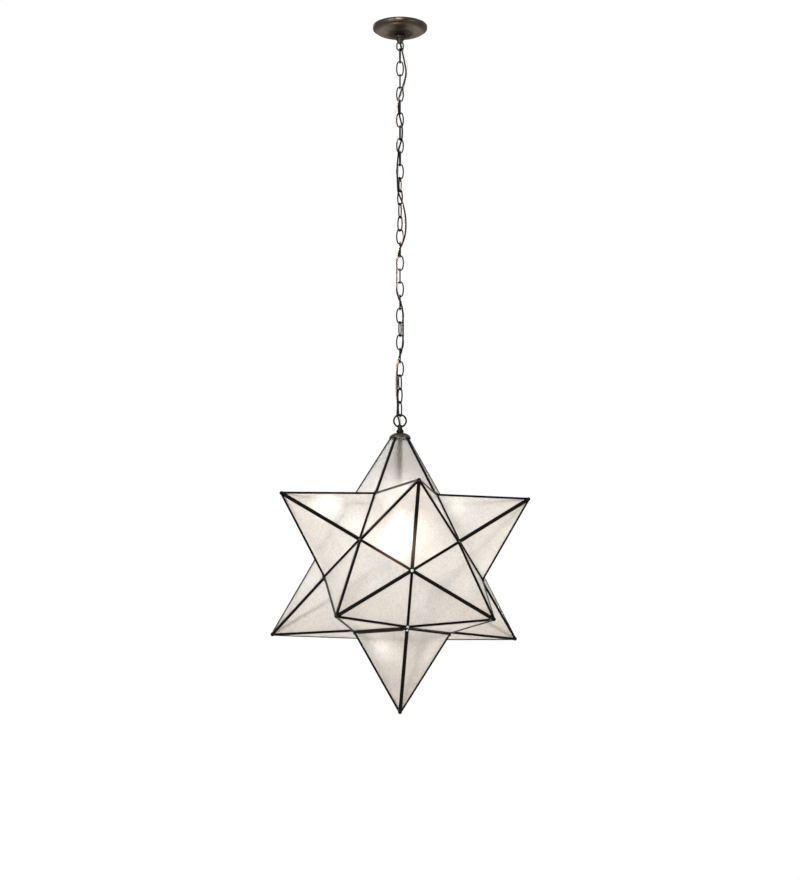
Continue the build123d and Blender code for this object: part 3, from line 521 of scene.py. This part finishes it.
R = 65.7
canopy_outer = [(R - 2.4, 0.0), (R - 0.8, -0.8), (R, -2.6), (R, -8.2), (R - 0.9, -10.6), (R - 3.0, -12.2), (61.4, -11.9),
                (60.0, -11.7), (58.9, -12.8), (57.6, -15.6), (55.8, -17.6), (53.6, -18.0), (51.8, -17.0), (50.4, -16.1),
                (48.6, -16.4), (44.0, -17.9), (39.6, -19.9), (37.6, -21.0), (35.8, -20.6), (34.4, -20.5), (32.8, -22.0),
                (30.8, -22.8), (27.0, -23.9), (22.0, -25.0), (18.0, -25.7), (14.0, -26.3), (11.0, -26.75)]
canopy_inner = [(11.0, -25.55), (21.8, -23.8), (30.4, -21.6), (34.2, -20.0), (38.2, -18.8), (42.2, -17.2), (46.2, -16.2),
                (50.4, -16.0), (53.9, -15.4), (56.0, -14.1), (58.1, -12.3), (60.5, -11.4), (62.2, -11.0), (63.9, -9.8),
                (R - 1.2, -7.9), (R - 1.2, -3.0), (R - 2.0, -2.0), (R - 5.0, -1.6), (R - 5.0, 0.0)]
FLUTES = 30


def fluted(r, z, t):
    """thin radial grooves between the boss and the inner step"""
    if z < -20.5 and 16.0 < r < 35.0:
        w = math.sin(math.pi * (r - 16.0) / 19.0) ** 0.6
        c = 0.5 + 0.5 * math.cos(FLUTES * t)
        z += 1.9 * w * (1 - c ** 0.45)
    return r, z


M["canopy_bronze"] = canopy_bronze()
canopy = lathe("canopy_fluted", chaikin(canopy_outer, 1) + chaikin(canopy_inner, 1), 480, M["canopy_bronze"], fluted)
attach(canopy, "canopy")
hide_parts("canopy_dish")

collar_outline = chaikin([(10.15, -26.8), (13.2, -26.8), (13.9, -27.4), (13.9, -28.6)], 1) + \
    chaikin([(13.9, -29.0), (13.9, -32.2)], 1) + chaikin([(13.9, -32.6), (13.9, -33.8), (13.2, -34.4), (10.15, -34.4)], 1)


def knurled(r, z, t):
    if r > 13.5 and -32.4 < z < -28.8:
        r -= 0.45 * (0.5 - 0.5 * math.cos(44 * t))
    return r, z


collar = lathe("collar_knurled", collar_outline, 352, M["cap_bronze"], knurled)
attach(collar, "collar")
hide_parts("collar_ring")

# supply cord and earth wire: the same routes as the solids, heights in mm above the star's centre
CORD_POINTS = [
    (-1.1, 0.0, 1280.2), (1.7, -3.9, 1266.3), (5.2, -6.7, 1251.4), (8.7, -6.1, 1236.0), (11.6, -5.4, 1220.7),
    (14.6, -4.5, 1205.8), (13.9, -3.1, 1190.7), (9.9, -1.7, 1175.7), (6.2, -5.2, 1161.9), (1.4, -1.9, 1149.3),
    (-3.3, 3.7, 1135.5), (-4.3, 9.1, 1119.2), (-3.1, 10.0, 1103.0), (0.6, 6.0, 1086.7), (4.3, 4.7, 1071.8),
    (5.8, 3.3, 1055.5), (5.0, 5.5, 1038.1), (0.3, 5.3, 1021.9), (-3.1, -5.0, 1007.0), (-4.5, -5.0, 989.6),
    (-6.4, -4.7, 972.2), (-6.9, -4.7, 954.8), (-6.4, -4.7, 937.5), (-5.8, -4.2, 920.1), (-5.3, -1.5, 905.3),
    (-0.2, 4.5, 891.7), (5.9, 4.4, 878.1), (9.5, 3.6, 863.3), (12.6, 2.6, 847.3), (14.0, 2.0, 830.0),
    (14.0, 2.0, 811.6), (11.9, -1.4, 794.4), (7.2, -3.0, 778.4), (0.9, -3.3, 764.4), (-4.7, 3.4, 749.7),
    (-6.7, 4.0, 734.3), (-7.4, 3.6, 715.9), (-7.3, 3.0, 697.6), (-7.1, 4.5, 679.3), (-6.7, 4.2, 662.2),
    (-4.7, 4.9, 647.6), (0.2, 0.6, 634.2), (4.9, -3.7, 620.8), (7.1, -3.8, 603.8), (7.3, -3.6, 585.6),
    (7.3, -2.6, 567.4), (7.3, -5.0, 549.2), (6.6, -5.2, 532.3), (4.7, -5.1, 517.8), (0.0, 0.3, 504.5),
    (-4.7, 4.0, 490.5), (-6.6, 3.7, 474.3), (-7.1, 3.8, 455.0), (-7.1, 2.5, 435.8), (-6.7, 2.3, 416.5),
    (-6.1, 2.1, 399.7), (-5.6, -3.8, 382.9), (-6.2, -3.3, 369.7), (-7.1, -4.9, 359.0), (-1.9, -1.9, 348.2),
    (-0.6, 4.4, 335.7), (-0.8, 4.8, 327.6),
]
EARTH_POINTS = [
    (1.9, 0.3, 1280.2), (3.2, 3.4, 1267.6), (10.6, 4.5, 1253.7), (15.4, 4.2, 1238.6), (17.8, 3.6, 1224.7),
    (18.0, 3.1, 1209.6), (15.9, 3.2, 1194.5), (13.0, 3.8, 1179.4), (9.6, 5.1, 1164.4), (5.3, 3.2, 1149.3),
    (-1.3, -6.0, 1134.3), (-6.3, -6.9, 1119.2), (-10.1, -4.9, 1104.2), (-11.5, -3.6, 1089.2), (-11.5, -3.0, 1074.2),
    (-9.6, -3.3, 1058.0), (-7.6, -4.4, 1041.8), (-5.2, -4.6, 1026.9), (-4.1, 2.5, 1011.9), (-4.8, 4.7, 997.0),
    (-5.7, 4.9, 979.6), (-3.4, 4.8, 962.2), (-2.7, 5.1, 944.9), (0.6, 5.2, 927.6), (2.3, 4.0, 912.7),
    (3.0, -3.7, 895.4), (4.8, -1.5, 878.1), (6.5, -2.6, 863.3), (8.1, -4.3, 847.3), (10.9, -4.5, 830.0),
    (10.7, -4.3, 811.6), (8.1, -3.9, 794.4), (3.9, -2.7, 778.4), (-2.3, -4.1, 764.4), (-6.2, -4.4, 749.7),
    (-6.6, -4.4, 734.3), (-6.4, -4.4, 715.9), (-6.6, -4.4, 697.6), (-6.4, -4.5, 679.3), (-5.6, -4.4, 662.2),
    (-2.8, -3.5, 647.6), (4.0, 1.6, 634.2), (4.1, 5.1, 620.8), (5.2, 5.0, 603.8), (4.7, 5.0, 585.6),
    (5.4, 5.0, 567.4), (7.1, 4.9, 549.2), (6.6, 4.9, 532.3), (5.7, 3.9, 517.8), (3.8, 0.0, 504.5),
    (-4.2, -4.8, 490.5), (-8.0, -5.0, 474.3), (-10.3, -4.0, 455.0), (-10.6, -2.1, 435.8), (-10.1, 2.0, 416.5),
    (-7.9, 5.4, 399.7), (-6.8, 4.4, 382.9), (-5.1, 4.5, 369.7), (-1.0, 5.4, 359.0), (1.4, 6.7, 348.2),
    (2.4, 7.4, 335.7), (2.3, 4.8, 327.6),
]


def route(points):
    """points along the smooth line of a route, metres"""
    cu = bpy.data.curves.new("route", "CURVE")
    cu.dimensions = "3D"
    sp = cu.splines.new("NURBS")
    sp.points.add(len(points) - 1)
    for p, (x, y, z) in zip(sp.points, points):
        p.co = (x / 1000, y / 1000, z / 1000 - STAR_DROP, 1)
    sp.order_u = 3
    sp.use_endpoint_u = True
    sp.resolution_u = 10
    o = bpy.data.objects.new("route", cu)
    scene.collection.objects.link(o)
    me = bpy.data.meshes.new_from_object(o)
    pts = [v.co.copy() for v in me.vertices]
    bpy.data.objects.remove(o)
    bpy.data.curves.remove(cu)
    bpy.data.meshes.remove(me)
    return pts


def stretch_of(pts, z0, z1):
    """the part of a falling line between two heights, with exact end points and directions"""
    tang = [(pts[min(i + 1, len(pts) - 1)] - pts[max(i - 1, 0)]).normalized() for i in range(len(pts))]

    def at(z):
        for i in range(len(pts) - 1):
            if pts[i].z >= z >= pts[i + 1].z and pts[i].z > pts[i + 1].z:
                f = (pts[i].z - z) / (pts[i].z - pts[i + 1].z)
                return pts[i].lerp(pts[i + 1], f), tang[i].lerp(tang[i + 1], f).normalized()

    first = at(z0) if z0 < pts[0].z else (pts[0], tang[0])
    last = at(z1) if z1 > pts[-1].z else (pts[-1], tang[-1])
    mid = [(p, t) for p, t in zip(pts, tang) if last[0].z + 2e-4 < p.z < first[0].z - 2e-4]
    return [first] + mid + [last]


def tube(name, line, r, sides, mat, cap0=False, cap1=False):
    verts, faces = [], []
    for p, t in line:
        x = (Vector((0, 1, 0)) - t * t.y).normalized()
        y = t.cross(x)
        for k in range(sides):
            a = 2 * math.pi * k / sides
            verts.append(p + (x * math.cos(a) + y * math.sin(a)) * r)
    for i in range(len(line) - 1):
        for k in range(sides):
            m = (k + 1) % sides
            faces.append((i * sides + k, i * sides + m, (i + 1) * sides + m, (i + 1) * sides + k))
    if cap0:
        faces.append(tuple(range(sides)))
    if cap1:
        b = (len(line) - 1) * sides
        faces.append(tuple(b + k for k in reversed(range(sides))))
    o = make(name, verts, faces, mat)
    bm = bmesh.new()
    bm.from_mesh(o.data)
    bmesh.ops.recalc_face_normals(bm, faces=bm.faces)
    if cap0 and cap1:
        pass
    bm.to_mesh(o.data)
    bm.free()
    return o


PITCH = 0.03215
LINK_HALF = 0.01785
LINK_TOP = -0.077                       # first link's centre
LINKS = [LINK_TOP - PITCH * i for i in range(28)]
RING_MID = 0.3461 - STAR_DROP
STAR_PIVOT = 0.3316 - STAR_DROP
# stretches: (from height, to height, upper body, lower body, the joint's height, how far the bend reaches)
STRETCHES = [(1.0, LINKS[0], "ceiling_mount", "link_01", -0.06295, 0.010)]
for i in range(27):
    STRETCHES.append((LINKS[i], LINKS[i + 1], f"link_{i + 1:02d}", f"link_{i + 2:02d}", LINKS[i] - LINK_HALF, 0.012))
STRETCHES.append((LINKS[27], RING_MID, "link_28", "ring", LINKS[27] - LINK_HALF, 0.008))
STRETCHES.append((RING_MID, -9.0, "ring", "star", STAR_PIVOT, 0.0045))
for label, points, r, sides, slot in (("supply_cord", CORD_POINTS, 0.002, 16, "cord_black"),
                                      ("earth_wire", EARTH_POINTS, 0.0007, 10, "bare_copper")):
    line = route(points)
    for i, (z0, z1, a, b, joint, reach) in enumerate(STRETCHES):
        o = tube(f"{label}_{i + 1:02d}", stretch_of(line, z0, z1), r, sides, M[slot], i == 0, i == len(STRETCHES) - 1)
        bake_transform(o)
        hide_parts(label)

# ---------------------------------------------------------------------------
# stage and light
# ---------------------------------------------------------------------------
floor_mesh = bpy.data.meshes.new("floor")
bm = bmesh.new()
bmesh.ops.create_grid(bm, x_segments=2, y_segments=2, size=30)
bm.to_mesh(floor_mesh)
bm.free()
floor = bpy.data.objects.new("floor", floor_mesh)
floor.location = (0, 0, -2.75)
scene.collection.objects.link(floor)
g = Graph("floor_pale")
n = g.noise(3, 3, 0.5)
p = g.principled(**{"Base Color": g.mix(n, (0.82, 0.82, 0.81), (0.86, 0.86, 0.85)), "Roughness": 0.8})
g.link(p.outputs[0], g.out.inputs["Surface"])
floor_mesh.materials.append(g.mat)

world = bpy.data.worlds.new("studio")
scene.world = world
world.use_nodes = True
wt = world.node_tree
wt.nodes.clear()
wo = wt.nodes.new("ShaderNodeOutputWorld")
bg_cam = wt.nodes.new("ShaderNodeBackground")
bg_cam.inputs["Color"].default_value = (1, 1, 1, 1)
bg_cam.inputs["Strength"].default_value = 1.02
bg_lit = wt.nodes.new("ShaderNodeBackground")
bg_lit.inputs["Color"].default_value = (1.0, 0.985, 0.96, 1)
bg_lit.inputs["Strength"].default_value = 0.45
bg_thru = wt.nodes.new("ShaderNodeBackground")
bg_thru.inputs["Color"].default_value = (1.0, 0.99, 0.97, 1)
bg_thru.inputs["Strength"].default_value = 0.98
# what metal reflects: soft light overhead, from the floor and from both sides, a dim middle
bg_gloss = wt.nodes.new("ShaderNodeBackground")
wc = wt.nodes.new("ShaderNodeTexCoord")
ws = wt.nodes.new("ShaderNodeSeparateXYZ")
wt.links.new(wc.outputs["Generated"], ws.inputs[0])
wsum = wt.nodes.new("ShaderNodeMath")
wsum.operation = "ADD"
for i, (axis, lo, hi, a, b) in enumerate((("Z", 0.05, 0.9, 0.06, 0.80), ("X", 0.10, 0.75, 0.0, 0.45))):
    wa = wt.nodes.new("ShaderNodeMath")
    wa.operation = "ABSOLUTE"
    wr = wt.nodes.new("ShaderNodeMapRange")
    for key, v in (("From Min", lo), ("From Max", hi), ("To Min", a), ("To Max", b)):
        wr.inputs[key].default_value = v
    wt.links.new(ws.outputs[axis], wa.inputs[0])
    wt.links.new(wa.outputs[0], wr.inputs["Value"])
    wt.links.new(wr.outputs["Result"], wsum.inputs[i])
wt.links.new(wsum.outputs[0], bg_gloss.inputs["Strength"])
lp = wt.nodes.new("ShaderNodeLightPath")
m0 = wt.nodes.new("ShaderNodeMixShader")
m1 = wt.nodes.new("ShaderNodeMixShader")
m2 = wt.nodes.new("ShaderNodeMixShader")
wt.links.new(lp.outputs["Is Glossy Ray"], m0.inputs[0])
wt.links.new(bg_lit.outputs[0], m0.inputs[1])
wt.links.new(bg_gloss.outputs[0], m0.inputs[2])
wt.links.new(lp.outputs["Is Transmission Ray"], m1.inputs[0])
wt.links.new(m0.outputs[0], m1.inputs[1])
wt.links.new(bg_thru.outputs[0], m1.inputs[2])
wt.links.new(lp.outputs["Is Camera Ray"], m2.inputs[0])
wt.links.new(m1.outputs[0], m2.inputs[1])
wt.links.new(bg_cam.outputs[0], m2.inputs[2])
wt.links.new(m2.outputs[0], wo.inputs["Surface"])


def area(name, loc, target, size, power, colour=(1, 1, 1)):
    d = bpy.data.lights.new(name, "AREA")
    d.shape = "RECTANGLE"
    d.size, d.size_y = size
    d.energy = power
    d.color = colour
    o = bpy.data.objects.new(name, d)
    scene.collection.objects.link(o)
    o.location = loc
    o.rotation_euler = (Vector(target) - Vector(loc)).to_track_quat("-Z", "Y").to_euler()
    return o


area("key", (-2.6, -3.2, 0.6), (0, 0, -1.1), (1.6, 1.6), 60)
area("fill", (3.0, -2.4, -0.6), (0, 0, -1.1), (1.4, 1.8), 25)
area("low", (-1.2, -3.4, -2.3), (0, 0, -0.1), (1.4, 1.0), 45)
area("rim", (-1.6, 3.0, 0.9), (0, 0, -1.0), (1.6, 1.2), 6)
area("front", (-0.30, -3.7, 1.25), (0, 0, -0.01), (1.3, 0.32), 130)

scene.view_settings.view_transform = "Standard"
